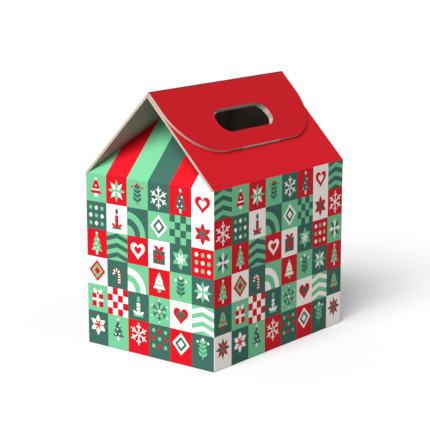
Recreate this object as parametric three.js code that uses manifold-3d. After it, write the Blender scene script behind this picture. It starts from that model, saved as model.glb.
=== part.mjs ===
// House gift box, a carton cut and folded from one sheet of board.
// Lengths are in millimetres and +Z is up. The origin is the middle of the base.
// X runs across the two roof slopes, and Y runs along the ridge.
// The front gable faces -Y, and the closure flap lies on the roof slope that faces +X.

import * as THREE from 'three';
import { mergeVertices } from 'three/addons/utils/BufferGeometryUtils.js';
import Module from 'manifold-3d';

const wasm = await Module();
wasm.setup();

// The board and its folds
const boardThickness = 1.7;
const creaseRadius = 0.8;        // of the face that goes round the outside of a fold
const layerGap = 0.3;            // air between two layers that lie on each other
const cutRelief = 1;             // what a cut between two neighbouring flaps leaves on each of them

// The house
const boxWidth = 120;            // between the outer faces of the side walls, along X
const boxDepth = 160;            // between the outer faces of the gable walls, along Y
const wallHeight = 130;
const ridgeHeight = 194;
const gableLean = THREE.MathUtils.degToRad(46.5);   // of a tucked-in gable panel, above the level
const gableClearance = 0.4;      // between a gable panel's sides and the underside of the roof
const gableTipRadius = 3;

// The closure flap, measured down the slope from the ridge
const flapLength = 58.6;
const flapCornerRadius = 40;
const tongueWidth = 45;
const tongueDepth = 12;          // how far the tongue reaches in, from the flap's printed face
const tongueTipRadius = 6;
const tongueFoldStep = 0.65;     // how far the tongue's fold stands past the flap's cut edge
const tongueRootLength = 8;      // of the flap's own board behind the fold
const slitClearance = 0.6;       // around the tongue in the roof panel's slit

// The handle, a slot through both slopes
const handleLength = 64;
const handleWidth = 20.7;
const handleDistance = 34.1;     // from the ridge to the slot's centre line
const handleStep = 0.3;          // how much further in the roof panels' own slots are cut, all round

// The side seam, in the corner behind the left wall
const glueTabWidth = 18;
const glueTabMargin = 9;         // from the tab's ends to the top and the bottom of the wall
const glueTabTaper = 5;
const glueBite = 0.05;           // how far the glued tab is pressed into the wall

// The snap-lock bottom, under the four walls
const rampAngle = THREE.MathUtils.degToRad(18);      // of an inner flap that rises from its crease to its layer
const tongueRampAngle = THREE.MathUtils.degToRad(20);
const sideFlapLength = 48;       // of the flaps under the front and back walls
const sideFlapCorner = 14;
const slotPanelReach = 8;        // how far the recessed panel goes past the middle of the box
const slotPanelCorner = 10;
const recessDepth = 20;
const recessWidth = 60;
const lockTongueWidth = 56;
const lockTongueLength = 16;     // of its level end, which lies on the recessed panel
const lockTongueRadius = 8;
const lockShoulder = 3;          // of level board between the lock panel's edge and its tongue's ramp

// Small steps for round stretches
const arcStep = THREE.MathUtils.degToRad(12);
const outlineSegments = 24;
const cutterReach = 8;           // of a cutter on each side of the board

// What follows from the sizes above
const halfWidth = boxWidth / 2;
const halfDepth = boxDepth / 2;
const layer = boardThickness + layerGap;
const roofRise = ridgeHeight - wallHeight;

// The ridge lies where the closure flap's printed face meets the left slope's.
// The flap lies one layer above the right slope, so the ridge is a little to the right of the middle.
const roofPitch = Math.acos(layer / 2 / Math.hypot(roofRise, halfWidth)) - Math.atan2(halfWidth, roofRise);
const ridgeX = layer / (2 * Math.sin(roofPitch));
const rightPanelLength = (boxWidth * Math.sin(roofPitch) - layer
  + Math.min(0, boardThickness * Math.cos(2 * roofPitch))) / Math.sin(2 * roofPitch);
const mitreSetback = layerGap / 2 / Math.cos(roofPitch);
const mitreSkew = boardThickness * Math.tan(roofPitch);

// How far each kind of fold reaches from its corner
const foldReach = angle => creaseRadius * Math.tan(angle / 2);
const eaveReach = foldReach(Math.PI / 2 - roofPitch);
const gableReach = foldReach(Math.PI / 2 - gableLean);
const topReach = Math.max(eaveReach, gableReach);

// Each flap's section starts on its wall, this far from the crease.
const stubLength = 2 * boardThickness;

// A wall over a rising flap rests on the round of its fold, so the corner of its faces is lower.
const rampCorner = creaseRadius * (1 - Math.tan(rampAngle) - 1 / Math.cos(rampAngle));
const rampRun = level => (level * layer - rampCorner) / Math.tan(rampAngle);

// Frames that turn a drawn outline's X, Y and depth into the box's directions
const axisX = new THREE.Vector3(1, 0, 0);
const axisY = new THREE.Vector3(0, 1, 0);
const axisZ = new THREE.Vector3(0, 0, 1);
const planFrame = new THREE.Matrix4();
const acrossFrame = new THREE.Matrix4().makeBasis(axisX, axisZ, axisY.clone().negate());
const alongFrame = new THREE.Matrix4().makeBasis(axisY, axisZ, axisX);

// A slope's frame: X along the ridge, Y down the slope from the ridge and Z out of its printed face
function slopeFrame(side) {
  const down = new THREE.Vector3(side * Math.cos(roofPitch), 0, -Math.sin(roofPitch));
  const out = new THREE.Vector3(side * Math.sin(roofPitch), 0, Math.cos(roofPitch));
  const frame = new THREE.Matrix4().makeBasis(down.clone().cross(out), down, out);
  return frame.setPosition(ridgeX, 0, ridgeHeight);
}

// A gable panel's frame: X along its crease, Y up the panel and Z out of its printed face
function gableFrame(side) {
  const up = new THREE.Vector3(0, -side * Math.cos(gableLean), Math.sin(gableLean));
  const out = new THREE.Vector3(0, side * Math.sin(gableLean), Math.cos(gableLean));
  const frame = new THREE.Matrix4().makeBasis(up.clone().cross(out), up, out);
  return frame.setPosition(0, side * halfDepth, wallHeight);
}

function solidFrom(geometry) {
  geometry.deleteAttribute('normal');
  geometry.deleteAttribute('uv');
  const merged = mergeVertices(geometry, 1e-5);
  const vertProperties = new Float32Array(merged.attributes.position.array);
  const triVerts = new Uint32Array(merged.index.array);
  return new wasm.Manifold(new wasm.Mesh({ numProp: 3, vertProperties, triVerts }));
}

function geometryFrom(solid) {
  const mesh = solid.getMesh();
  const geometry = new THREE.BufferGeometry();
  geometry.setAttribute('position', new THREE.BufferAttribute(mesh.vertProperties, 3));
  geometry.setIndex(new THREE.BufferAttribute(mesh.triVerts, 1));
  return geometry;
}

// An outline pushed from one depth to another in a frame
function prism(shape, frame, from, to) {
  const depth = to - from;
  const geometry = new THREE.ExtrudeGeometry(shape, { depth, bevelEnabled: false, curveSegments: outlineSegments });
  geometry.translate(0, 0, from);
  geometry.applyMatrix4(frame);
  return solidFrom(geometry);
}

function polygon(points) {
  return new THREE.Shape(points.map(([x, y]) => new THREE.Vector2(x, y)));
}

// A slot with round ends, centred on a point
function slotShape(centreY, length, width) {
  const radius = width / 2;
  const reach = length / 2 - radius;
  const shape = new THREE.Shape();
  shape.absarc(reach, centreY, radius, -Math.PI / 2, Math.PI / 2);
  shape.absarc(-reach, centreY, radius, Math.PI / 2, 3 * Math.PI / 2);
  shape.closePath();
  return shape;
}

// The section of the board along a chain of panels.
// The corners are those of its printed face, taken with the box's inside on the left hand.
// Each fold is round on the face that goes round its outside and square on the other one.
// A skew moves the bare face's end along the board, for a mitred edge.
function boardSection(corners, startSkew = 0, endSkew = 0) {
  const points = corners.map(([x, y]) => new THREE.Vector2(x, y));
  const directions = points.slice(1).map((point, i) => point.clone().sub(points[i]).normalize());
  const inward = directions.map(direction => new THREE.Vector2(-direction.y, direction.x));
  const printed = [];
  const bare = [];
  const addEnd = (point, i, skew) => {
    printed.push(point);
    bare.push(point.clone().addScaledVector(inward[i], boardThickness).addScaledVector(directions[i], skew));
  };
  addEnd(points[0], 0, startSkew);
  for (let i = 1; i < points.length - 1; i += 1) {
    const turn = Math.atan2(directions[i - 1].cross(directions[i]), directions[i - 1].dot(directions[i]));
    const toBare = inward[i - 1].clone().add(inward[i]).multiplyScalar(boardThickness / (1 + Math.cos(turn)));
    const bareCorner = points[i].clone().add(toBare);
    const closing = turn > 0;
    const [roundFace, squareFace] = closing ? [printed, bare] : [bare, printed];
    const [roundCorner, squareCorner] = closing ? [points[i], bareCorner] : [bareCorner, points[i]];
    const start = roundCorner.clone().addScaledVector(directions[i - 1], -foldReach(Math.abs(turn)));
    const centre = start.clone().addScaledVector(inward[i - 1], closing ? creaseRadius : -creaseRadius);
    const steps = Math.max(1, Math.ceil(Math.abs(turn) / arcStep));
    for (let step = 0; step <= steps; step += 1) {
      roundFace.push(start.clone().rotateAround(centre, turn * step / steps));
    }
    squareFace.push(squareCorner);
  }
  addEnd(points[points.length - 1], directions.length - 1, endSkew);
  return new THREE.Shape([...printed, ...bare.reverse()]);
}

// Walls
// One band of board runs from the seam round the four corners to the back wall.
function walls() {
  const bandSection = boardSection([
    [-halfWidth, halfDepth],
    [-halfWidth, -halfDepth],
    [halfWidth, -halfDepth],
    [halfWidth, halfDepth],
    [0, halfDepth],
  ]);
  const seamFace = -halfWidth + boardThickness - glueBite;
  const seamSection = boardSection([
    [cutRelief, halfDepth],
    [seamFace, halfDepth],
    [seamFace, halfDepth - glueTabWidth],
  ]);
  const tabRoot = halfDepth - creaseRadius;
  const tabEnd = halfDepth - glueTabWidth;
  const seamOutline = polygon([
    [halfDepth + cutRelief, 0],
    [halfDepth + cutRelief, wallHeight],
    [tabRoot, wallHeight],
    [tabRoot, wallHeight - glueTabMargin],
    [tabEnd - cutRelief, wallHeight - glueTabMargin - glueTabTaper],
    [tabEnd - cutRelief, glueTabMargin + glueTabTaper],
    [tabRoot, glueTabMargin],
    [tabRoot, 0],
  ]);
  const bottom = creaseRadius;
  const top = wallHeight - topReach;
  const band = prism(bandSection, planFrame, bottom, top);
  const seam = prism(seamSection, planFrame, bottom, top)
    .intersect(prism(seamOutline, alongFrame, -boxWidth, boxWidth));

  // At the four corners the vertical folds run down past the flaps' creases.
  const cornerSize = 2 * creaseRadius;
  const cornerBlocks = [-1, 1].flatMap(sideX => [-1, 1].map(sideY => {
    const block = new THREE.BoxGeometry(cornerSize, cornerSize, cornerSize);
    block.translate(sideX * halfWidth, sideY * halfDepth, creaseRadius + layerGap);
    return solidFrom(block);
  }));
  const lowBand = prism(bandSection, planFrame, layerGap, stubLength);
  const lowSeam = prism(seamSection, planFrame, layerGap, stubLength);
  const lowCorners = cornerBlocks.map(block => lowBand.add(lowSeam).intersect(block));
  return [band, seam, ...lowCorners].reduce((whole, piece) => whole.add(piece));
}

// Roof
// Each slope goes on from its wall over the eave's crease, the whole depth of the box.
function rightSlope() {
  const section = boardSection([
    [halfWidth, wallHeight - stubLength],
    [halfWidth, wallHeight],
    [halfWidth - rightPanelLength * Math.cos(roofPitch), wallHeight + rightPanelLength * Math.sin(roofPitch)],
  ]);
  return prism(section, acrossFrame, -halfDepth, halfDepth)
    .subtract(handleCut(1))
    .subtract(slitCut());
}

function leftSlope() {
  const section = boardSection([
    [ridgeX - mitreSetback * Math.cos(roofPitch), ridgeHeight - mitreSetback * Math.sin(roofPitch)],
    [-halfWidth, wallHeight],
    [-halfWidth, wallHeight - stubLength],
  ], mitreSkew);
  return prism(section, acrossFrame, -halfDepth, halfDepth).subtract(handleCut(-1));
}

function handleCut(side) {
  const slot = slotShape(handleDistance, handleLength - 2 * handleStep, handleWidth - 2 * handleStep);
  return prism(slot, slopeFrame(side), -cutterReach, cutterReach);
}

// The tongue's printed face keeps the fold's distance from the ridge, so the flap turns it out of the slit.
const foldDistance = flapLength + tongueFoldStep;
const tongueTipDistance = foldDistance - tongueDepth ** 2 / (2 * foldDistance);
const tongueSlope = (foldDistance - tongueTipDistance) / tongueDepth;

function slitCut() {
  const slitTop = foldDistance - 2 * layer * tongueSlope - boardThickness - slitClearance;
  const slitBottom = foldDistance - layer * tongueSlope + slitClearance;
  const slitEnd = tongueWidth / 2 + slitClearance;
  const slit = polygon([
    [-slitEnd, slitTop],
    [slitEnd, slitTop],
    [slitEnd, slitBottom],
    [-slitEnd, slitBottom],
  ]);
  return prism(slit, slopeFrame(1), -cutterReach, cutterReach);
}

// Gable panels
// Each folds in from the top of its wall and ends just under the two slopes.
function gablePanel(side) {
  const narrowing = Math.sin(gableLean) / Math.tan(roofPitch);
  const rootHalf = halfWidth - (boardThickness + gableClearance) / Math.sin(roofPitch);
  const apex = rootHalf / narrowing;
  const halfAngle = Math.atan(narrowing);
  const skirt = stubLength;
  const outline = new THREE.Shape();
  outline.moveTo(-rootHalf, -skirt);
  outline.lineTo(rootHalf, -skirt);
  outline.lineTo(rootHalf, 0);
  outline.absarc(0, apex - gableTipRadius / Math.sin(halfAngle), gableTipRadius, halfAngle, Math.PI - halfAngle);
  outline.lineTo(-rootHalf, 0);
  outline.closePath();
  const tip = [side * (halfDepth - apex * Math.cos(gableLean)), wallHeight + apex * Math.sin(gableLean)];
  const corners = [
    tip,
    [side * halfDepth, wallHeight],
    [side * halfDepth, wallHeight - stubLength],
  ];
  const section = boardSection(side > 0 ? corners.reverse() : corners);
  return prism(section, alongFrame, -halfWidth, halfWidth)
    .intersect(prism(outline, gableFrame(side), -cutterReach, cutterReach));
}

// Bottom
// A flap's outline in plan, drawn as if its wall were the line y = 0 and the box above it.
// Its corners are cut at 45 degrees as far as the neighbouring flaps still rise.
function flapRoot(halfLength, leftRun, rightRun) {
  const rootHalf = halfLength - cutRelief;
  return {
    left: [
      [-rootHalf + leftRun, leftRun],
      [-rootHalf, 0],
      [-rootHalf, -cutRelief],
    ],
    right: [
      [rootHalf, -cutRelief],
      [rootHalf, 0],
      [rootHalf - rightRun, rightRun],
    ],
  };
}

const slotRun = rampRun(2);
const sideRun = rampRun(1);
const recessEnd = slotPanelReach - recessDepth;
const tongueTop = recessEnd + cutRelief;
const tongueBase = tongueTop + 3 * layer / Math.tan(tongueRampAngle);
const shoulderX = tongueBase + lockShoulder;

// The first panel to be folded in, from the left wall: it has the recess, and lies on top.
function slotPanel() {
  const { left, right } = flapRoot(halfDepth, slotRun, slotRun);
  const end = halfWidth + slotPanelReach;
  const edge = halfDepth - cutRelief - slotRun;
  const recess = recessWidth / 2;
  const outline = polygon([
    ...right,
    [edge, end - slotPanelCorner],
    [edge - slotPanelCorner, end],
    [recess, end],
    [recess, end - recessDepth],
    [-recess, end - recessDepth],
    [-recess, end],
    [-edge + slotPanelCorner, end],
    [-edge, end - slotPanelCorner],
    ...left,
  ]);
  const frame = new THREE.Matrix4().makeBasis(axisY.clone().negate(), axisX, axisZ);
  frame.setPosition(-halfWidth, 0, 0);
  const section = boardSection([
    [-halfWidth, stubLength],
    [-halfWidth, rampCorner],
    [-halfWidth + slotRun, 2 * layer],
    [slotPanelReach + cutRelief, 2 * layer],
  ]);
  return prism(section, acrossFrame, -halfDepth, halfDepth)
    .intersect(prism(outline, frame, -cutterReach, stubLength + 2 * layer));
}

// The two flaps under the gable walls come next.
function sideFlap(side) {
  const runs = side < 0 ? [slotRun, sideRun] : [sideRun, slotRun];
  const { left, right } = flapRoot(halfWidth, ...runs);
  const leftEdge = left[0][0];
  const rightEdge = right[2][0];
  const outline = polygon([
    ...right,
    [rightEdge, sideFlapLength - sideFlapCorner],
    [rightEdge - sideFlapCorner, sideFlapLength],
    [leftEdge + sideFlapCorner, sideFlapLength],
    [leftEdge, sideFlapLength - sideFlapCorner],
    ...left,
  ]);
  const frame = new THREE.Matrix4().makeRotationZ(side < 0 ? 0 : Math.PI);
  frame.setPosition(0, side * halfDepth, 0);
  const corners = [
    [side * halfDepth, stubLength],
    [side * halfDepth, rampCorner],
    [side * (halfDepth - sideRun), layer],
    [side * (halfDepth - sideFlapLength - cutRelief), layer],
  ];
  const section = boardSection(side < 0 ? corners : corners.reverse());
  return prism(section, alongFrame, -halfWidth, halfWidth)
    .intersect(prism(outline, frame, -cutterReach, stubLength + layer));
}

// The last panel, from the right wall, is what the box stands on.
// Its tongue rises through the recess and lies on the recessed panel.
function lockPanel() {
  const { left, right } = flapRoot(halfDepth, sideRun, sideRun);
  const edge = halfDepth - cutRelief - sideRun;
  const shoulder = halfWidth - shoulderX;
  const tip = halfWidth - tongueTop + lockTongueLength;
  const tongue = lockTongueWidth / 2;
  const outline = polygon([...right, [edge, shoulder], [tongue, shoulder]]);
  outline.lineTo(tongue, tip - lockTongueRadius);
  outline.absarc(tongue - lockTongueRadius, tip - lockTongueRadius, lockTongueRadius, 0, Math.PI / 2);
  outline.absarc(-tongue + lockTongueRadius, tip - lockTongueRadius, lockTongueRadius, Math.PI / 2, Math.PI);
  outline.lineTo(-tongue, shoulder);
  outline.lineTo(-edge, shoulder);
  left.forEach(([x, y]) => outline.lineTo(x, y));
  const frame = new THREE.Matrix4().makeBasis(axisY, axisX.clone().negate(), axisZ);
  frame.setPosition(halfWidth, 0, 0);
  const section = boardSection([
    [tongueTop - lockTongueLength - cutRelief, 3 * layer],
    [tongueTop, 3 * layer],
    [tongueBase, 0],
    [halfWidth, 0],
    [halfWidth, stubLength],
  ]);
  return prism(section, acrossFrame, -halfDepth, halfDepth)
    .intersect(prism(outline, frame, -cutterReach, stubLength + 3 * layer));
}

// The closure flap, in the right slope's frame
function closureFlap() {
  const halfTongue = tongueWidth / 2;
  const slabSection = polygon([
    [mitreSetback, 0],
    [mitreSetback + mitreSkew, -boardThickness],
    [flapLength, -boardThickness],
    [flapLength, 0],
  ]);
  const outline = new THREE.Shape();
  outline.moveTo(-halfDepth, -cutRelief);
  outline.lineTo(halfDepth, -cutRelief);
  outline.absarc(halfDepth - flapCornerRadius, flapLength - flapCornerRadius, flapCornerRadius, 0, Math.PI / 2);
  outline.absarc(
    flapCornerRadius - halfDepth,
    flapLength - flapCornerRadius,
    flapCornerRadius,
    Math.PI / 2,
    Math.PI,
  );
  outline.closePath();
  const slab = prism(slabSection, alongFrame, -halfDepth, halfDepth)
    .intersect(prism(outline, planFrame, -cutterReach, cutterReach));

  const tongueSection = boardSection([
    [tongueTipDistance, -tongueDepth],
    [foldDistance, 0],
    [flapLength - tongueRootLength, 0],
  ]);
  const tongueOutline = new THREE.Shape();
  tongueOutline.moveTo(halfTongue, boardThickness);
  tongueOutline.lineTo(-halfTongue, boardThickness);
  const tipCentre = tongueTipRadius - tongueDepth;
  tongueOutline.absarc(tongueTipRadius - halfTongue, tipCentre, tongueTipRadius, Math.PI, 3 * Math.PI / 2);
  tongueOutline.absarc(halfTongue - tongueTipRadius, tipCentre, tongueTipRadius, -Math.PI / 2, 0);
  tongueOutline.closePath();
  const tongue = prism(tongueSection, alongFrame, -halfTongue, halfTongue)
    .intersect(prism(tongueOutline, acrossFrame, -2 * flapLength, 2 * flapLength));

  const handle = prism(
    slotShape(handleDistance, handleLength, handleWidth),
    planFrame,
    -cutterReach,
    cutterReach,
  );
  return slab.add(tongue).subtract(handle);
}

function boardMesh(name, solid, color) {
  const material = new THREE.MeshStandardMaterial({ color, roughness: 0.55, metalness: 0 });
  const mesh = new THREE.Mesh(geometryFrom(solid), material);
  mesh.name = name;
  return mesh;
}

const cartonSolid = [
  walls(),
  rightSlope(),
  leftSlope(),
  gablePanel(-1),
  gablePanel(1),
  slotPanel(),
  sideFlap(-1),
  sideFlap(1),
  lockPanel(),
].reduce((whole, piece) => whole.add(piece));

const giftBox = new THREE.Group();
giftBox.add(boardMesh('carton', cartonSolid, 0xd8232f));

const flap = boardMesh('closure_flap', closureFlap(), 0xc41f2c);
flap.applyMatrix4(slopeFrame(1));
giftBox.add(flap);

export default giftBox;
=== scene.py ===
import math
import bpy
from mathutils import Matrix, Vector
from mathutils.geometry import delaunay_2d_cdt


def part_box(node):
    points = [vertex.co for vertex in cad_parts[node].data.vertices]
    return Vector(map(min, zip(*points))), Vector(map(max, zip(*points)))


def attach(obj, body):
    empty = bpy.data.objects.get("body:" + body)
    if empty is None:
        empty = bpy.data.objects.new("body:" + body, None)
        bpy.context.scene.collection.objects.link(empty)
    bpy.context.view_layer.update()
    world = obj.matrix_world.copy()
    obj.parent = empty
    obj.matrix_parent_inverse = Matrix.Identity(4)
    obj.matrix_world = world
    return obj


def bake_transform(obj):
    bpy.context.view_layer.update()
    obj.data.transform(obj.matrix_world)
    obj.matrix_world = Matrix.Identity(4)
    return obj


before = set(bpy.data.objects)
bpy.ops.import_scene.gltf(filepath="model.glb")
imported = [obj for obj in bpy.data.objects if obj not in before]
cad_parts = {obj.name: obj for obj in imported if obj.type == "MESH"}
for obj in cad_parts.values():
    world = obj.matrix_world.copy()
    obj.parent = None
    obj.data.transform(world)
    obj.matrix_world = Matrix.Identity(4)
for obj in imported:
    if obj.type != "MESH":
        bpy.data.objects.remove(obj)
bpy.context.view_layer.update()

# House gift box: one folded sheet of printed board.
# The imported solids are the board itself, and this script lays the printed paper on them.
# Lengths below are millimetres until a mesh is made.
mm = 0.001
boardLow, boardHigh = (Vector(corner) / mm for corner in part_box("carton"))

house = {
    "width": boardHigh.x - boardLow.x,
    "depth": boardHigh.y - boardLow.y,
    "wall": 130.0,
    "ridge": 194.0,
    "board": 1.7,
    "gap": 0.3,                  # between two layers of board
    "crease": 0.8,               # radius of the printed side of a fold
    "relief": 1.0,               # what a cut leaves beside a fold at the corners
    "gableLean": math.radians(46.5),
    "gableClear": 0.4,
    "gableTip": 3.0,
    "bottomRamp": math.radians(18),
}
halfWidth = house["width"] / 2
halfDepth = house["depth"] / 2
layer = house["board"] + house["gap"]
rise = house["ridge"] - house["wall"]
pitch = math.acos(layer / 2 / math.hypot(rise, halfWidth)) - math.atan2(halfWidth, rise)
ridgePoint = Vector((layer / (2 * math.sin(pitch)), 0, house["ridge"]))
mitre = house["gap"] / 2 / math.cos(pitch)

paper = {
    "lift": 0.10,                # the paper's printed face above the board
    "bite": 0.02,                # its glued side, pressed into the board
    "bendSteps": 4,
    "arcSteps": 20,
    "tipSteps": 8,
    "weld": 1e-4,                # points nearer than this are one
    "bandSlack": 1e-6,           # a point this little above the walls' band still folds as part of it
}


# Shader maths
# A Wire is a node socket that takes part in Python expressions.
class Wire:
    def __init__(self, tree, socket):
        self.tree = tree
        self.socket = socket

    def maths(self, operation, *values):
        sockets = dict(enumerate(values))
        return addNode(self.tree, "ShaderNodeMath", {"operation": operation}, sockets)

    def __add__(self, other): return self.maths("ADD", self, other)
    def __radd__(self, other): return self.maths("ADD", other, self)
    def __sub__(self, other): return self.maths("SUBTRACT", self, other)
    def __rsub__(self, other): return self.maths("SUBTRACT", other, self)
    def __mul__(self, other): return self.maths("MULTIPLY", self, other)
    def __rmul__(self, other): return self.maths("MULTIPLY", other, self)
    def below(self, limit): return self.maths("LESS_THAN", self, limit)
    def above(self, limit): return self.maths("GREATER_THAN", self, limit)


def addNode(tree, kind, settings=None, sockets=None, out=0):
    node = tree.nodes.new(kind)
    for key, value in (settings or {}).items():
        if key == "stops":
            ramp = node.color_ramp
            for element, (place, colour) in zip(ramp.elements, value):
                element.position = place
                element.color = (*colour, 1)
        else:
            setattr(node, key, value)
    for key, value in (sockets or {}).items():
        if isinstance(value, Wire):
            tree.links.new(value.socket, node.inputs[key])
        else:
            node.inputs[key].default_value = value
    return Wire(tree, node.outputs[out])


def components(vector):
    split = addNode(vector.tree, "ShaderNodeSeparateXYZ", None, {0: vector})
    return [Wire(vector.tree, output) for output in split.socket.node.outputs]


def srgb(red, green, blue):
    def linear(value):
        value /= 255
        return value / 12.92 if value <= 0.04045 else ((value + 0.055) / 1.055) ** 2.4
    return linear(red), linear(green), linear(blue)


inks = {
    "red": srgb(213, 16, 33),
    "mint": srgb(115, 196, 147),
    "green": srgb(60, 103, 91),
    "white": srgb(252, 246, 238),
    # The slopes' red is the walls' red made darker: painted shade on the roof
    "roofShadedRed": srgb(199, 18, 32),
    # The flap's red is darker again: painted shade on the closure flap
    "flapShadedRed": srgb(187, 16, 30),
    # The crease's red is darkest: painted shade in the ridge crease
    "creaseShadedRed": srgb(160, 9, 22),
}
inkFinish = {
    "roughness": 0.56,
    "roughSpread": 0.10,
    "specular": 0.12,
    "cloudScale": 45.0,
    "cloudDetail": 3.0,
    "cloudInGloss": 0.7,         # the rest is the tooth's
    "toothScale": 900.0,
    "toothDetail": 2.0,
    "toothInRelief": 0.8,        # the rest is the cloud's
    "toothDepth": 0.012,
    "bumpStrength": 0.25,
}
bareFinish = {
    "pale": srgb(198, 184, 169),
    # the board's colour made greyer and darker inside the box: painted shade
    "dark": srgb(182, 168, 151),
    "insideShadePale": srgb(163, 155, 146),   # the greyer back of the board
    "insideShadeDark": srgb(149, 141, 131),
    "darkStop": 0.30,            # where the shade's range starts and ends
    "paleStop": 0.62,
    "fibreScale": 260.0,
    "fibreStretch": 5.0,
    "fibreDetail": 4.0,
    "fibreInShade": 0.6,         # the rest is the blotches'
    "blotchScale": 60.0,
    "blotchDetail": 2.0,
    "roughness": 0.84,
    "roughSpread": 0.08,
    "specular": 0.2,
    "bump": 0.05,
    "bumpStrength": 0.4,
}
# Where the painted shade inside the box goes. In metres for places, and as parts of a unit normal for
# directions
inside = {
    "inward": -0.0004,           # a normal times its place, below this it faces the middle
    "bottomTop": 0.012,          # above the bottom flaps
    "tuckTop": 0.157,            # below the handle slots an inner face may look up, as the tongue's does
    "tuckAllowance": 0.65,
    "upLimit": 0.3,
    "gableFoot": 0.131,
    "gableDown": -0.3,
}


def startMaterial(name):
    material = bpy.data.materials.new(name)
    material.use_nodes = True
    tree = material.node_tree
    shader = tree.nodes["Principled BSDF"]
    place = addNode(tree, "ShaderNodeTexCoord", out=3)
    return material, tree, shader, place


# Offset ink on coated paper: one flat colour, with the paper's tooth in its gloss and its surface
def inkMaterial(name, colour):
    material, tree, shader, place = startMaterial(name)
    cloud = addNode(
        tree, "ShaderNodeTexNoise", None,
        {"Vector": place, "Scale": inkFinish["cloudScale"], "Detail": inkFinish["cloudDetail"]},
    )
    tooth = addNode(
        tree, "ShaderNodeTexNoise", None,
        {"Vector": place, "Scale": inkFinish["toothScale"], "Detail": inkFinish["toothDetail"]},
    )
    inGloss, inRelief = inkFinish["cloudInGloss"], inkFinish["toothInRelief"]
    rough = inkFinish["roughness"] + inkFinish["roughSpread"] * (
        inGloss * cloud + (1 - inGloss) * tooth - 0.5)
    relief = inRelief * tooth + (1 - inRelief) * cloud
    bump = addNode(tree, "ShaderNodeBump", None, {
        "Height": relief,
        "Strength": inkFinish["bumpStrength"],
        "Distance": inkFinish["toothDepth"] * mm,
    })
    shader.inputs["Base Color"].default_value = (*colour, 1)
    shader.inputs["Specular IOR Level"].default_value = inkFinish["specular"]
    tree.links.new(rough.socket, shader.inputs["Roughness"])
    tree.links.new(bump.socket, shader.inputs["Normal"])
    return material


# The faces that look into the box, where painted shade darkens the board: they face the middle and don't
# face up, above its bottom flaps
def insideShadeMask(tree, place):
    nx, ny, nz = components(addNode(tree, "ShaderNodeTexCoord", out=1))
    x, y, z = components(place)
    up = nz - inside["tuckAllowance"] * z.below(inside["tuckTop"])
    inward = (nx * x).below(inside["inward"]) * up.below(inside["upLimit"]) * z.above(inside["bottomTop"])
    gables = (ny * y).below(inside["inward"]) * nz.below(inside["gableDown"]) * z.above(inside["gableFoot"])
    return inward.maths("MAXIMUM", inward, gables)


# Unprinted board: warm and matt with light fibres on the cut edges, and greyer and darker on the inside as
# painted shade
def bareMaterial():
    material, tree, shader, place = startMaterial("bareBoard")
    stretch = (1.0, bareFinish["fibreStretch"], bareFinish["fibreStretch"])
    laid = addNode(tree, "ShaderNodeMapping", None, {"Vector": place, "Scale": stretch})
    fibres = addNode(
        tree, "ShaderNodeTexNoise", None,
        {"Vector": laid, "Scale": bareFinish["fibreScale"], "Detail": bareFinish["fibreDetail"]},
    )
    blotches = addNode(
        tree, "ShaderNodeTexNoise", None,
        {"Vector": place, "Scale": bareFinish["blotchScale"], "Detail": bareFinish["blotchDetail"]},
    )
    shade = bareFinish["fibreInShade"] * fibres + (1 - bareFinish["fibreInShade"]) * blotches
    edgeTone, insideShadeTone = (
        addNode(
            tree, "ShaderNodeValToRGB",
            {"stops": [
                (bareFinish["darkStop"], bareFinish[dark]),
                (bareFinish["paleStop"], bareFinish[pale]),
            ]},
            {"Fac": shade},
        )
        for dark, pale in (("dark", "pale"), ("insideShadeDark", "insideShadePale"))
    )
    # The faces inside the box take the darker, greyer tone: painted shade
    colour = addNode(
        tree, "ShaderNodeMix", {"data_type": "RGBA"},
        {0: insideShadeMask(tree, place), 6: edgeTone, 7: insideShadeTone}, out=2,
    )
    bump = addNode(tree, "ShaderNodeBump", None, {
        "Height": fibres,
        "Strength": bareFinish["bumpStrength"],
        "Distance": bareFinish["bump"] * mm,
    })
    rough = bareFinish["roughness"] + bareFinish["roughSpread"] * (blotches - 0.5)
    tree.links.new(colour.socket, shader.inputs["Base Color"])
    tree.links.new(rough.socket, shader.inputs["Roughness"])
    tree.links.new(bump.socket, shader.inputs["Normal"])
    shader.inputs["Specular IOR Level"].default_value = bareFinish["specular"]
    return material


inkNames = list(inks)
inkMaterials = [inkMaterial(name, colour) for name, colour in inks.items()]
bareBoard = bareMaterial()
print("materials ready:", len(inkMaterials) + 1)

for nodeName in ("carton", "closure_flap"):
    node = bpy.data.objects[nodeName]
    node.data.materials.clear()
    node.data.materials.append(bareBoard)


# Flat artwork
# A drawing is a list of (ink, outline), painted in order on the flat sheet.
# Each motif is drawn from the middle of its square.
cell = {"wide": 20.0, "tall": 20.86, "rows": 6}


# A point (dx, dy) from (x, y), turned about it
def turned(x, y, dx, dy, angle):
    cos, sin = math.cos(angle), math.sin(angle)
    return (x + dx * cos - dy * sin, y + dx * sin + dy * cos)


def disc(x, y, radius, sides=20):
    return [
        (x + radius * math.cos(math.tau * i / sides), y + radius * math.sin(math.tau * i / sides))
        for i in range(sides)
    ]


def bar(x, y, length, width, angle=0.0, start=0.0):
    end, half = start + length, width / 2
    corners = [(start, -half), (end, -half), (end, half), (start, half)]
    return [turned(x, y, dx, dy, angle) for dx, dy in corners]


def box(x, y, width, height):
    return [(x - width / 2, y - height / 2), (x + width / 2, y - height / 2),
            (x + width / 2, y + height / 2), (x - width / 2, y + height / 2)]


def lozenge(x, y, width, height, angle=0.0):
    corners = [(width / 2, 0), (0, height / 2), (-width / 2, 0), (0, -height / 2)]
    return [turned(x, y, dx, dy, angle) for dx, dy in corners]


def starOutline(x, y, outer, inner, points, angle=math.pi / 2):
    return [
        turned(x, y, (inner if i % 2 else outer) * math.cos(math.pi * i / points),
               (inner if i % 2 else outer) * math.sin(math.pi * i / points), angle)
        for i in range(2 * points)
    ]


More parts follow.
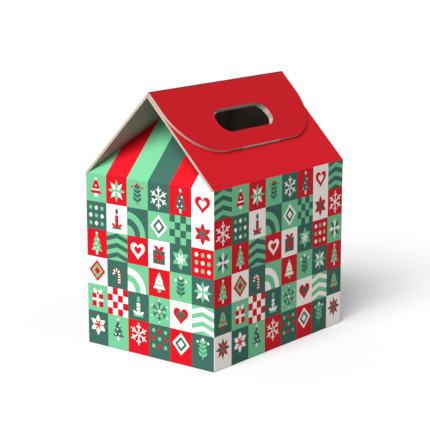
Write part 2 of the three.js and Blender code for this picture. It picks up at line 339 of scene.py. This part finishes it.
def leaf(x, y, length, width, angle, steps=8):    # a pointed leaf that grows from (x, y)
    along = [length * i / steps for i in range(steps + 1)]
    lower = [(a, -width / 2 * math.sin(math.pi * a / length)) for a in along]
    upper = [(a, width / 2 * math.sin(math.pi * a / length)) for a in along[-2:0:-1]]
    return [turned(x, y, dx, dy, angle) for dx, dy in lower + upper]


def snowflake(x, y, first, second):
    shapes = []
    for arm in range(6):
        angle = math.pi / 2 + arm * math.pi / 3
        shapes.append((first, bar(x, y, 7.2, 1.1, angle, 0.4)))
        tip = turned(x, y, 4.4, 0, angle)
        shapes.append((first, bar(*tip, 2.7, 0.9, angle + 0.9)))
        shapes.append((first, bar(*tip, 2.7, 0.9, angle - 0.9)))
        shapes.append((second, disc(*turned(x, y, 8.0, 0, angle), 0.75, 10)))
    shapes.append((second, lozenge(x, y, 3.2, 3.2)))
    return shapes


def fir(x, y, first, second):
    shapes = [(second, box(x, y - 7.0, 1.8, 3.0))]
    for width, base, tall in ((11.0, -5.6, 6.2), (8.8, -2.0, 5.6), (6.4, 1.6, 5.4)):
        shapes.append((first, [(x - width / 2, y + base), (x + width / 2, y + base), (x, y + base + tall)]))
    for dx, dy in ((-2.6, -4.0), (1.2, -3.4), (-0.8, 0.0), (1.4, 3.0)):
        shapes.append((second, disc(x + dx, y + dy, 0.7, 10)))
    shapes.append((second, starOutline(x, y + 7.6, 1.6, 0.7, 5)))
    return shapes


def bell(x, y, first, second):
    sideCurve = [(2.2, 3.6), (3.0, 2.4), (3.4, 0.6), (3.8, -1.2), (4.9, -3.0), (5.6, -4.2)]
    crown, shoulder = sideCurve[0]
    angles = [math.pi * i / 8 for i in range(1, 8)]
    top = [(x + crown * math.cos(a), y + shoulder + crown * math.sin(a)) for a in angles]
    left = [(x - dx, y + dy) for dx, dy in sideCurve]
    right = [(x + dx, y + dy) for dx, dy in reversed(sideCurve)]
    return [
        (second, disc(x, y + 6.6, 1.2, 12)),
        (second, disc(x, y - 5.2, 1.7, 14)),
        (first, right + top + left),
        (second, box(x, y - 1.4, 7.2, 1.1)),
        (second, disc(x, y + 1.6, 0.8, 10)),
    ]


def parcel(x, y, first, second):
    return [
        (first, box(x, y - 1.8, 11.0, 10.0)),
        (second, box(x, y - 1.8, 2.2, 10.0)),
        (second, box(x, y - 1.4, 11.0, 1.9)),
        (second, leaf(x, y + 3.2, 5.6, 3.2, math.radians(35))),
        (second, leaf(x, y + 3.2, 5.6, 3.2, math.radians(145))),
        (first, disc(x, y + 3.6, 1.1, 12)),
    ]


def heart(x, y, first, second):
    steps, raised = 28, 0.6

    def outline(scale):    # the usual heart curve
        points = []
        for i in range(steps):
            t = math.tau * i / steps
            up = 13 * math.cos(t) - 5 * math.cos(2 * t) - 2 * math.cos(3 * t) - math.cos(4 * t)
            points.append((x - scale * math.sin(t) ** 3 * 16, y + raised + scale * up))
        return points
    return [(first, outline(0.43)), (second, outline(0.22))]


def caneShape(x, y, first, second):
    shapes = []
    straight, bend, width, foot = 8.0, 2.6, 2.3, -7.2
    pieces = 8                   # stripes up the straight, and again round the crook
    sweep = math.pi * 1.12
    stripe = straight / pieces
    cx, cy = x - 1, y + foot + straight
    for i in range(pieces):
        low = y + foot + straight * i / pieces
        shapes.append((first if i % 2 else second, box(cx + bend, low + stripe / 2, width, stripe)))
    outer, inner = bend + width / 2, bend - width / 2
    for i in range(pieces):
        a0 = sweep * i / pieces
        a1 = sweep * (i + 1) / pieces
        shapes.append((first if i % 2 else second, [
            (cx + inner * math.cos(a0), cy + inner * math.sin(a0)),
            (cx + outer * math.cos(a0), cy + outer * math.sin(a0)),
            (cx + outer * math.cos(a1), cy + outer * math.sin(a1)),
            (cx + inner * math.cos(a1), cy + inner * math.sin(a1)),
        ]))
    return shapes


def quiltStar(x, y, first, second):
    shapes = []
    for point in range(8):
        angle = math.pi / 4 * point
        tip = turned(x, y, 4.1, 0, angle)
        shapes.append((first if point % 2 else second, lozenge(*tip, 8.2, 3.2, angle)))
    shapes.append((second, disc(x, y, 1.3, 12)))
    return shapes


def nestedLozenges(x, y, first, second):
    return [
        (first, lozenge(x, y, 16.0, 16.6)),
        (second, lozenge(x, y, 11.0, 11.4)),
        (first, lozenge(x, y, 6.0, 6.2)),
    ]


def sprig(x, y, first, second):
    shapes = [(first, bar(x, y - 7.6, 14.0, 0.8, math.pi / 2))]
    for i in range(4):
        base = y - 5.6 + 3.2 * i
        shapes.append((first, leaf(x, base, 5.6 - 0.5 * i, 2.2, math.radians(40))))
        shapes.append((first, leaf(x, base, 5.6 - 0.5 * i, 2.2, math.radians(140))))
    shapes.append((second, disc(x, y + 7.0, 1.3, 12)))
    shapes.append((second, disc(x - 4.8, y + 5.0, 1.0, 12)))
    shapes.append((second, disc(x + 4.8, y + 5.0, 1.0, 12)))
    return shapes


def poinsettia(x, y, first, second):
    shapes = []
    for petal in range(6):
        shapes.append((first, leaf(x, y, 8.0, 4.0, math.pi / 6 + petal * math.pi / 3)))
    for petal in range(6):
        shapes.append((second, leaf(x, y, 4.6, 1.5, petal * math.pi / 3)))
    shapes.append((second, disc(x, y, 1.3, 12)))
    return shapes


def checks(x, y, first, second):
    shapes = []
    stepX, stepY = cell["wide"] / 4, cell["tall"] / 4
    for i in range(4):
        for j in range(4):
            if (i + j) % 2:
                shapes.append((first, box(x + (i - 1.5) * stepX, y + (j - 1.5) * stepY, stepX, stepY)))
    return shapes


def chevrons(x, y, first, second):
    shapes = []
    half, band = cell["wide"] / 2, cell["tall"] / 6
    for i in range(3):
        low = y - cell["tall"] / 2 + 2 * i * band
        peak = band * 0.9
        for side in (-1, 1):
            edge = x + side * half
            outline = [(x, low + peak), (edge, low), (edge, low + band), (x, low + band + peak)]
            shapes.append((first, outline))
    return shapes


def quarterFans(x, y, first, second):
    shapes = []
    cx, cy = x - cell["wide"] / 2, y - cell["tall"] / 2
    steps = 12
    angles = [math.pi / 2 * i / steps for i in range(steps + 1)]
    for radius, ink in ((17.5, first), (12.5, second), (7.5, first)):
        arc = [(cx + radius * math.cos(angle), cy + radius * math.sin(angle)) for angle in angles]
        shapes.append((ink, [(cx, cy)] + arc))
    return shapes


def dotGrid(x, y, first, second):
    shapes = []
    stepX, stepY, radius = 5.6, 5.8, 1.6
    for i in range(3):
        for j in range(3):
            ink = second if (i + j) % 2 else first
            shapes.append((ink, disc(x + (i - 1) * stepX, y + (j - 1) * stepY, radius, 14)))
    return shapes


def candleShape(x, y, first, second):
    return [
        (first, box(x, y - 1.8, 3.4, 9.0)),
        (second, bar(x - 1.7, y - 3.6, 3.6, 0.9, 0.3)),
        (second, bar(x - 1.7, y - 0.6, 3.6, 0.9, 0.3)),
        (second, leaf(x, y + 2.9, 5.2, 3.0, math.pi / 2)),
        (second, box(x, y - 6.9, 9.0, 1.4)),
        (first, leaf(x + 1.2, y - 6.2, 5.0, 2.2, math.radians(35))),
        (first, leaf(x - 1.2, y - 6.2, 5.0, 2.2, math.radians(145))),
    ]


motifs = {
    "flake": snowflake, "fir": fir, "bell": bell, "parcel": parcel, "heart": heart, "cane": caneShape,
    "quilt": quiltStar, "nest": nestedLozenges, "sprig": sprig, "flower": poinsettia, "check": checks,
    "chevron": chevrons, "fan": quarterFans, "dots": dotGrid, "candle": candleShape,
}

# The repeat, from the top row down: seven squares of ground, motif, first ink and second ink
repeat = [[square.split() for square in row.split(", ")] for row in (
    "mint bell red white, red quilt white mint, mint sprig green red, "
    "green flake white mint, red fir green white, white heart red white, "
    "green chevron mint mint",
    "green dots mint white, white candle red green, green fan mint green, "
    "mint nest white green, mint check green green, white flower red green, "
    "red flake white white",
    "red fir mint white, mint chevron green green, red heart white red, "
    "white parcel green red, green flower mint white, red dots white mint, "
    "mint quilt green white",
    "white nest red mint, green cane white red, mint fan white mint, "
    "red bell white mint, mint sprig green white, green quilt white mint, "
    "red fir mint white",
    "mint parcel red white, red check white white, green candle white mint, "
    "mint flake green white, white heart red green, mint chevron white white, "
    "green bell mint red",
    "green flower white red, mint fir green white, red flake white mint, "
    "green dots mint red, red nest white green, green sprig mint white, "
    "white quilt red green",
)]
gableStripes = [square[0] for square in repeat[0]]


# The flat sheet, seen from its printed side
# U runs round the walls from the front left corner and V up from the bottom crease.
walls = {
    "left": {"start": (-halfWidth, halfDepth), "along": (0, -1), "out": (-1, 0),
             "u": -house["depth"], "length": house["depth"]},
    "front": {"start": (-halfWidth, -halfDepth), "along": (1, 0), "out": (0, -1),
              "u": 0.0, "length": house["width"]},
    "right": {"start": (halfWidth, -halfDepth), "along": (0, 1), "out": (1, 0),
              "u": house["width"], "length": house["depth"]},
    "back": {"start": (halfWidth, halfDepth), "along": (-1, 0), "out": (0, 1),
             "u": house["width"] + house["depth"], "length": house["width"]},
}
order = list(walls)
sheetStart = walls["left"]["u"]
sheetEnd = walls["back"]["u"] + house["width"] - house["board"]
gableTurn = math.pi / 2 - house["gableLean"]
roofTurn = math.pi / 2 - pitch
# The right wall's bottom flap is the outermost one and lies level, and the others rise inwards.
for name, wall in walls.items():
    wall["topTurn"] = roofTurn if name in ("left", "right") else gableTurn
    wall["bottomTurn"] = math.pi / 2 + (0 if name == "right" else house["bottomRamp"])


def foldReach(turn):
    return house["crease"] * math.tan(turn / 2)


bandTop = house["wall"] - max(foldReach(roofTurn), foldReach(gableTurn))
bandBottom = house["crease"]
wrapDepth = -1.4                 # the print runs this far round the bottom creases
cornerBottom = 0.35              # where the print at an upright corner starts
# How far a field of ink is drawn past the sheet, which trims it
overprint = {"edge": 1.0, "corner": 0.01, "bottom": 0.1}


# The height of the faces' corner, so that the round of the fold rests on the floor
def bottomCorner(turn):
    lean = turn - math.pi / 2
    return house["crease"] * (1 - math.tan(lean) - 1 / math.cos(lean))


# How far out and how high a point of the sheet lies, from its place up the flat wall
def wallProfile(wall, v, lift):
    radius = house["crease"]
    low = bottomCorner(wall["bottomTurn"])
    lowReach = foldReach(wall["bottomTurn"])
    high = house["wall"]
    highReach = foldReach(wall["topTurn"])
    if v < low + lowReach and v < bandBottom:
        turn = wall["bottomTurn"]
        share = min(1.0, (low + lowReach - v) / (2 * lowReach))
        angle = turn * share
        past = max(0.0, low - lowReach - v)
        centre = low + lowReach
        out = -radius + (radius + lift) * math.cos(angle) - past * math.sin(angle)
        up = centre - (radius + lift) * math.sin(angle) - past * math.cos(angle)
        return out, up
    if v > high - highReach:
        turn = wall["topTurn"]
        share = min(1.0, (v - high + highReach) / (2 * highReach))
        angle = turn * share
        past = max(0.0, v - high - highReach)
        out = -radius + (radius + lift) * math.cos(angle) - past * math.sin(angle)
        up = high - highReach + (radius + lift) * math.sin(angle) + past * math.cos(angle)
        return out, up
    return lift, v


def wallAt(u, v):
    def holds(wall):
        return wall["u"] - paper["weld"] <= u <= wall["u"] + wall["length"] + paper["weld"]
    # above the band only the slopes reach the corners, so they come first
    search = order if v <= bandTop + paper["weld"] else ["left", "right", "front", "back"]
    return next(name for name in search if holds(walls[name]))


# Where a point of the flat sheet lies on the folded box
def foldPoint(u, v, lift):
    name = wallAt(u, v)
    wall = walls[name]
    local = u - wall["u"]
    start, along, out = (Vector((*wall[key], 0)) for key in ("start", "along", "out"))
    reach = house["crease"]
    if v <= bandTop + paper["bandSlack"]:
        index = order.index(name)
        for atEnd in (False, True):
            offset = local - wall["length"] if atEnd else local
            neighbour = index + (1 if atEnd else -1)
            if abs(offset) >= reach or not 0 <= neighbour < len(order):
                continue
            other = Vector((*walls[order[neighbour]]["out"], 0))
            corner = start + along * (wall["length"] if atEnd else 0)
            centre = corner - (out + other) * reach
            angle = math.pi / 4 * (1 - abs(offset) / reach)
            spoke = out * math.cos(angle) + other * math.sin(angle)
            return centre + spoke * (reach + lift) + Vector((0, 0, v))
    outward, height = wallProfile(wall, v, lift)
    return start + along * local + out * outward + Vector((0, 0, height))


# The ridge's frame on one slope: X along the ridge, Y down the slope, Z out of the print
def slopeFrame(side):
    down = Vector((side * math.cos(pitch), 0, -math.sin(pitch)))
    out = Vector((side * math.sin(pitch), 0, math.cos(pitch)))
    along = down.cross(out)
    frameMatrix = Matrix((along, down, out)).transposed().to_4x4()
    frameMatrix.translation = ridgePoint
    return frameMatrix


handle = {
    "length": 64.0,
    "width": 20.7,
    "distance": 34.1,            # down the slope from the ridge to the slot's middle
    "step": 0.3,                 # how much smaller the slopes' slots are than the flap's, all round
    "margin": 0.6,               # the right slope's print stops short of its slot
    "steps": 24,
}
# The tongue's slit in the right slope, measured down from the ridge
slit = {"half": 23.1, "top": 56.54, "bottom": 59.65}


def stadium(x, y, length, width):
    radius = width / 2
    reach = length / 2 - radius
    points = []
    for centre, begin in ((reach, -math.pi / 2), (-reach, math.pi / 2)):
        for i in range(handle["steps"] + 1):
            angle = begin + math.pi * i / handle["steps"]
            points.append((x + centre + radius * math.cos(angle), y + radius * math.sin(angle)))
    return points


def rectangle(u0, v0, u1, v1):
    return [(u0, v0), (u1, v0), (u1, v1), (u0, v1)]


def gableOutline(middle):
    narrowing = math.sin(house["gableLean"]) / math.tan(pitch)
    root = halfWidth - (house["board"] + house["gableClear"]) / math.sin(pitch)
    apex = root / narrowing
    half = math.atan(narrowing)
    radius = house["gableTip"]
    centre = apex - radius / math.sin(half)
    tip = []
    for i in range(paper["tipSteps"] + 1):
        angle = half + (math.pi - 2 * half) * i / paper["tipSteps"]
        tip.append((middle + radius * math.cos(angle), house["wall"] + centre + radius * math.sin(angle)))
    foot = [(middle - root, bandTop), (middle + root, bandTop), (middle + root, house["wall"])]
    return foot + tip + [(middle - root, house["wall"])]


def slopeLength(side):
    toEave = Vector((side * halfWidth, 0, house["wall"])) - ridgePoint
    return toEave.dot(Vector((side * math.cos(pitch), 0, -math.sin(pitch))))


rightLength = (house["width"] * math.sin(pitch) - layer
               + min(0.0, house["board"] * math.cos(2 * pitch))) / math.sin(2 * pitch)
leftLength = slopeLength(-1) - mitre


# Cuts the flat sheet along every outline, and gives its points, its triangles and each one's ink
def triangulate(sheets, paint, cuts, creases):
    faces = sheets + [outline for _, outline in paint] + cuts
    points, faceLists = [], []
    for outline in faces:
        area = sum(a[0] * b[1] - b[0] * a[1] for a, b in zip(outline, outline[1:] + outline[:1]))
        ring = outline if area > 0 else outline[::-1]
        faceLists.append(list(range(len(points), len(points) + len(ring))))
        points.extend(Vector(p) for p in ring)
    edges = []
    for a, b in creases:
        edges.append((len(points), len(points) + 1))
        points.extend((Vector(a), Vector(b)))
    flat, _, triangles, _, _, owners = delaunay_2d_cdt(
        points, edges, faceLists, 0, paper["weld"], True)
    firstPaint = len(sheets)
    firstCut = firstPaint + len(paint)
    kept, colours = [], []
    for triangle, owner in zip(triangles, owners):
        if not owner or min(owner) >= firstPaint or max(owner) >= firstCut:
            continue
        painted = [i for i in owner if i >= firstPaint]
        kept.append(triangle)
        colours.append(paint[max(painted) - firstPaint][0] if painted else "white")
    return flat, kept, colours


# Makes the flat, inked triangles a closed sheet of paper on the folded board
def paperPiece(name, flat, triangles, colours, place):
    used = sorted({i for triangle in triangles for i in triangle})
    number = {old: new for new, old in enumerate(used)}
    count = len(used)
    points = [place(flat[i].x, flat[i].y, paper["lift"]) for i in used]
    points += [place(flat[i].x, flat[i].y, -paper["bite"]) for i in used]
    faces, slots = [], []
    rim = {}    # the edges that only one triangle has, in the order they are met
    for triangle, ink in zip(triangles, colours):
        ring = [number[i] for i in triangle]
        faces.append(ring)
        slots.append(inkNames.index(ink))
        faces.append([i + count for i in reversed(ring)])
        slots.append(len(inkNames))
        for a, b in zip(ring, ring[1:] + ring[:1]):
            if (b, a) in rim:
                del rim[(b, a)]
            else:
                rim[(a, b)] = True
    for a, b in rim:
        faces.append([b, a, a + count, b + count])
        slots.append(len(inkNames))
    mesh = bpy.data.meshes.new(name)
    mesh.from_pydata([p * mm for p in points], [], faces)
    for material in inkMaterials + [bareBoard]:
        mesh.materials.append(material)
    mesh.polygons.foreach_set("material_index", slots)
    mesh.validate()
    piece = bpy.data.objects.new(name, mesh)
    bpy.context.scene.collection.objects.link(piece)
    print(name, "faces:", len(mesh.polygons))
    return piece


# A row's lowest and highest V, counted from the top one, and the lowest row takes what is left
def rowBounds(row):
    high = house["wall"] - row * cell["tall"]
    low = wrapDepth - overprint["bottom"] if row == cell["rows"] - 1 else high - cell["tall"]
    return low, high


def wallArtwork():
    paint = []
    columns = round((walls["back"]["u"] + house["width"] - sheetStart) / cell["wide"])
    shift = round(sheetStart / cell["wide"])
    for column in range(columns):
        for row in range(cell["rows"]):
            ground, motif, first, second = repeat[row][(column + shift) % len(repeat[row])]
            low, high = rowBounds(row)
            left = sheetStart + column * cell["wide"]
            paint.append((ground, rectangle(left, low, left + cell["wide"], high)))
            middle = high - cell["tall"] / 2
            paint.extend(motifs[motif](left + cell["wide"] / 2, middle, first, second))
    return paint


def sheetArtwork():
    paint = wallArtwork()
    for name in ("front", "back"):
        for stripe in range(round(house["width"] / cell["wide"])):
            left = walls[name]["u"] + stripe * cell["wide"]
            column = round(left / cell["wide"])
            ground = gableStripes[column % len(gableStripes)]
            top = house["wall"] + 2 * halfDepth
            paint.append((ground, rectangle(left, house["wall"], left + cell["wide"], top)))
    # The slopes are printed in the darker red, which is painted shade on the roof.
    for name, length in (("left", leftLength), ("right", rightLength)):
        first = walls[name]["u"] - overprint["corner"]
        last = walls[name]["u"] + house["depth"] + overprint["corner"]
        top = house["wall"] + length + overprint["edge"]
        paint.append(("roofShadedRed", rectangle(first, house["wall"], last, top)))
    return paint


def sheetOutlines():
    outlines = [rectangle(sheetStart, bandBottom, sheetEnd, bandTop)]
    for name in order:
        u, length = walls[name]["u"], walls[name]["length"]
        last = min(u + length, sheetEnd + house["relief"])
        outlines.append(rectangle(u + house["relief"], wrapDepth, last - house["relief"], bandBottom))
        if name != "left":
            outlines.append(rectangle(u - house["relief"], cornerBottom, u + house["relief"], bandBottom))
    for name, length in (("left", leftLength), ("right", rightLength)):
        u = walls[name]["u"]
        outlines.append(rectangle(u, bandTop, u + house["depth"], house["wall"] + length))
    for name in ("front", "back"):
        outlines.append(gableOutline(walls[name]["u"] + halfWidth))
    return outlines


def sheetCuts():
    cuts = []
    for name, side in (("left", -1), ("right", 1)):
        middle = walls[name]["u"] + halfDepth
        top = house["wall"] + slopeLength(side)
        spare = 2 * (handle["margin"] if side > 0 else 0) - 2 * handle["step"]
        cuts.append(stadium(
            middle, top - handle["distance"],
            handle["length"] + spare, handle["width"] + spare,
        ))
        if side > 0:
            cuts.append(rectangle(
                middle - slit["half"], top - slit["bottom"],
                middle + slit["half"], top - slit["top"],
            ))
    return cuts


def sheetCreases():
    lines = []
    steps = paper["bendSteps"]
    for name in order:
        wall = walls[name]
        u, length = wall["u"], wall["length"]
        for i in range(steps + 1):
            share = 2 * i / steps - 1
            v = house["wall"] + share * foldReach(wall["topTurn"])
            lines.append(((u, v), (u + length, v)))
            v = bottomCorner(wall["bottomTurn"]) + share * foldReach(wall["bottomTurn"])
            lines.append(((u + house["relief"], v), (u + length - house["relief"], v)))
            if name != "left":
                corner = u + share * house["crease"]
                lines.append(((corner, cornerBottom), (corner, bandTop)))
    return lines


flat, triangles, colours = triangulate(sheetOutlines(), sheetArtwork(), sheetCuts(), sheetCreases())
printedSheet = paperPiece("printed_sheet", flat, triangles, colours, foldPoint)
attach(printedSheet, "carton")

# Closure flap
# Its print starts where the ridge crease's own strip ends.
closure = {"length": 58.6, "corner": 40.0, "ridgeStrip": 1.5}


def flapOutline():
    half, corner = halfDepth, closure["corner"]
    length = closure["length"]
    top = closure["ridgeStrip"]
    points = [(-half, top), (half, top)]
    for begin, centre in ((0.0, half - corner), (math.pi / 2, corner - half)):
        for i in range(paper["arcSteps"] + 1):
            angle = begin + math.pi / 2 * i / paper["arcSteps"]
            points.append((centre + corner * math.cos(angle), length - corner + corner * math.sin(angle)))
    return points


rightFrame = slopeFrame(1)


def flapPoint(u, v, lift):
    return rightFrame @ Vector((u, v, lift))


# The flap is printed in the darker red, which is painted shade on the flap.
flat, triangles, colours = triangulate(
    [flapOutline()],
    [("flapShadedRed", rectangle(
        -halfDepth - overprint["edge"], -overprint["edge"],
        halfDepth + overprint["edge"], closure["length"] + overprint["edge"],
    ))],
    [stadium(0, handle["distance"], handle["length"], handle["width"])],
    [],
)
printedFlap = paperPiece("printed_flap", flat, triangles, colours, flapPoint)
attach(printedFlap, "closure_flap")

# Ridge crease
# One strip of the paper bends over the ridge, from the left slope to the flap, in a darker red that is
# painted shade in the crease.
ridgeFold = {"reach": closure["ridgeStrip"], "radius": 0.35, "steps": 8, "lift": 0.14, "thickness": 0.15}


def ridgeLine():
    downLeft = Vector((-math.cos(pitch), 0, -math.sin(pitch)))
    downRight = Vector((math.cos(pitch), 0, -math.sin(pitch)))
    half = math.pi / 2 - pitch
    corner = ridgePoint + Vector((0, 0, ridgeFold["lift"] / math.sin(half)))
    centre = corner - Vector((0, 0, ridgeFold["radius"] / math.sin(half)))
    line = [corner + downLeft * ridgeFold["reach"]]
    for i in range(ridgeFold["steps"] + 1):
        angle = pitch - 2 * pitch * i / ridgeFold["steps"]
        line.append(centre + Vector((-math.sin(angle), 0, math.cos(angle))) * ridgeFold["radius"])
    line.append(corner + downRight * ridgeFold["reach"])
    return line


line = ridgeLine()
bpy.ops.object.select_all(action="DESELECT")
bpy.ops.mesh.primitive_grid_add(x_subdivisions=len(line) - 1, y_subdivisions=1, size=2, location=(0, 0, 0))
ridgeCrease = bpy.context.object
ridgeCrease.name = "ridge_crease"
for vertex in ridgeCrease.data.vertices:
    column = round((vertex.co.x + 1) / 2 * (len(line) - 1))
    vertex.co = (line[column] + Vector((0, halfDepth * vertex.co.y, 0))) * mm
solid = ridgeCrease.modifiers.new("thickness", "SOLIDIFY")
solid.thickness = ridgeFold["thickness"] * mm
solid.offset = -1
bpy.ops.object.modifier_apply(modifier=solid.name)
ridgeCrease.data.materials.append(inkMaterials[inkNames.index("creaseShadedRed")])
tuple(line[0] * mm)
tuple(line[-1] * mm)
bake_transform(ridgeCrease)
print("paper laid")

# Floor, light and camera, in metres
studio = {
    "floorSize": 6.0,
    "floorTone": 0.32,           # what the floor throws back at the box
    "floorSeen": 0.70,           # what the camera sees of it
    "floorGlow": 0.13,           # seen by the camera alone
    "skyLevel": 0.41,            # what the sky lights with, and the camera sees it white
    "sunLevel": 3.87,
    "sunSize": math.radians(36),
    "sunFrom": Vector((0.13, -0.71, 0.70)),
}

bpy.ops.mesh.primitive_plane_add(size=studio["floorSize"], location=(0, 0, 0))
floor = bpy.context.object
floor.name = "floor"
floorMaterial = bpy.data.materials.new("paleFloor")
floorMaterial.use_nodes = True
tree = floorMaterial.node_tree
tree.nodes.remove(tree.nodes["Principled BSDF"])
seen = addNode(tree, "ShaderNodeLightPath")
tone = studio["floorTone"] + (studio["floorSeen"] - studio["floorTone"]) * seen
grey = addNode(tree, "ShaderNodeCombineColor", None, {0: tone, 1: tone, 2: tone})
matt = addNode(tree, "ShaderNodeBsdfDiffuse", None, {"Color": grey})
glow = addNode(tree, "ShaderNodeEmission", None, {"Strength": studio["floorGlow"] * seen})
both = addNode(tree, "ShaderNodeAddShader", None, {0: matt, 1: glow})
tree.links.new(both.socket, tree.nodes["Material Output"].inputs["Surface"])
floor.data.materials.append(floorMaterial)

world = bpy.data.worlds.new("studioWorld")
bpy.context.scene.world = world
world.use_nodes = True
tree = world.node_tree
background = tree.nodes["Background"]
seen = addNode(tree, "ShaderNodeLightPath")
level = studio["skyLevel"] + (1.0 - studio["skyLevel"]) * seen
tree.links.new(level.socket, background.inputs["Strength"])
background.inputs["Color"].default_value = (1, 1, 1, 1)

sunData = bpy.data.lights.new("keySun", "SUN")
sunData.energy = studio["sunLevel"]
sunData.angle = studio["sunSize"]
sun = bpy.data.objects.new("keySun", sunData)
sun.rotation_euler = studio["sunFrom"].to_track_quat("Z", "Y").to_euler()
bpy.context.scene.collection.objects.link(sun)

view = {
    "place": Vector((0.68728, -0.87517, 0.33376)),
    "azimuth": math.radians(38.23),
    "elevation": math.radians(12.253),
    "lens": 125.97,
    "sensor": 36.0,
    "nearest": 0.05,
}
cameraData = bpy.data.cameras.new("photoCamera")
cameraData.lens = view["lens"]
cameraData.sensor_width = view["sensor"]
cameraData.sensor_fit = "HORIZONTAL"
cameraData.clip_start = view["nearest"]
camera = bpy.data.objects.new("photoCamera", cameraData)
bpy.context.scene.collection.objects.link(camera)
backward = Vector((
    math.sin(view["azimuth"]) * math.cos(view["elevation"]),
    -math.cos(view["azimuth"]) * math.cos(view["elevation"]),
    math.sin(view["elevation"]),
))
camera.location = view["place"]
camera.rotation_euler = backward.to_track_quat("Z", "Y").to_euler()
bpy.context.scene.camera = camera
bpy.context.scene.view_settings.view_transform = "Standard"

print("scene ready")
